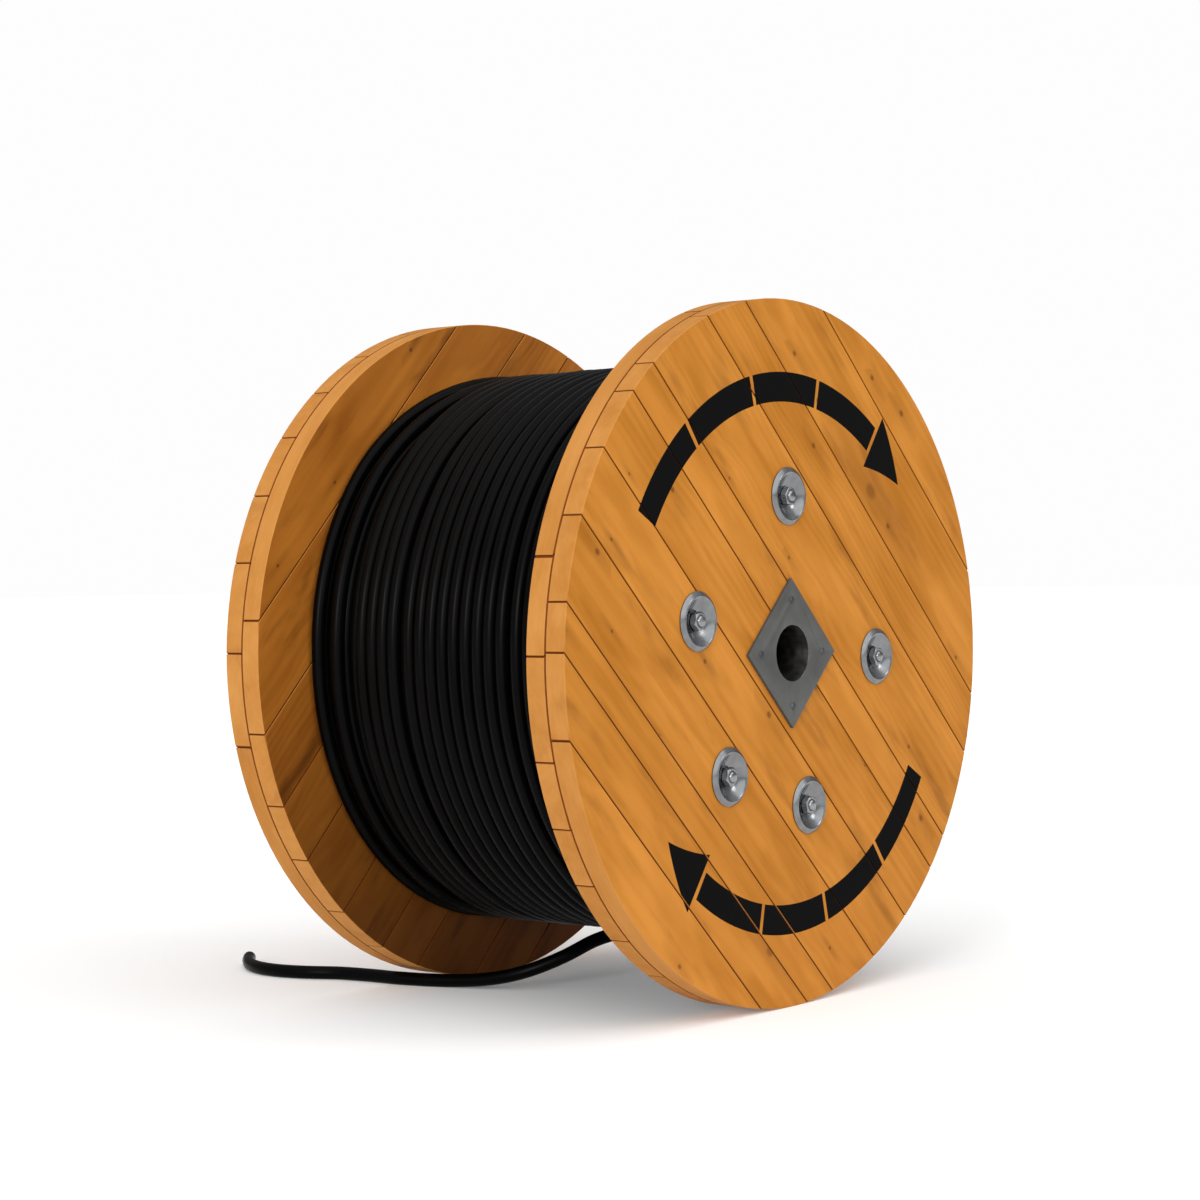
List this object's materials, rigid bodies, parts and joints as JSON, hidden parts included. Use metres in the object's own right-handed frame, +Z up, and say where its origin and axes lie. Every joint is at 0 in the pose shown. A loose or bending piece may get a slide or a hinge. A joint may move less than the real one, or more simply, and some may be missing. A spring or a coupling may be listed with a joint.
{
  "type": "wooden cable drum",
  "caption": "Wooden cable drum with two-ply plank flanges, steel spindle plates, tie rods with dished washers, a black cable wound on its barrel and a loose cable tail.",
  "frame": {"origin": "on the floor under the middle of the drum, measured without the loose cable tail", "axes": "+X along the spindle axis towards the near flange, +Y to its right seen from the near side, +Z up"},
  "size_m": [0.9713, 1, 1.0001],
  "materials": {
    "flange_wood": "planed softwood, satin",
    "inner_wood": "sawn softwood, matt",
    "stave_wood": "sawn softwood, matt",
    "plate_steel": "dark grey, satin",
    "nail_steel": "dull",
    "rod_steel": "zinc plated",
    "zinc_steel": "zinc plated, pressed",
    "nut_steel": "zinc plated",
    "cable_jacket": "smooth extruded jacket, satin"
  },
  "bodies": {
    "root": {"outer_planks_near": "flange_wood", "inner_planks_near": "inner_wood", "inner_planks_far": "inner_wood", "outer_planks_far": "flange_wood", "barrel_staves": "stave_wood", "spindle_plate_near": "plate_steel", "spindle_plate_far": "plate_steel", "plate_nails_near": "nail_steel", "plate_nails_far": "nail_steel", "tie_rods": "rod_steel", "dished_washers_near": "zinc_steel", "dished_washers_far": "zinc_steel", "tie_rod_nuts_near": "nut_steel", "tie_rod_nuts_far": "nut_steel", "cable_winding": "cable_jacket", "cable_tail": "cable_jacket"}
  },
  "joints": []
}
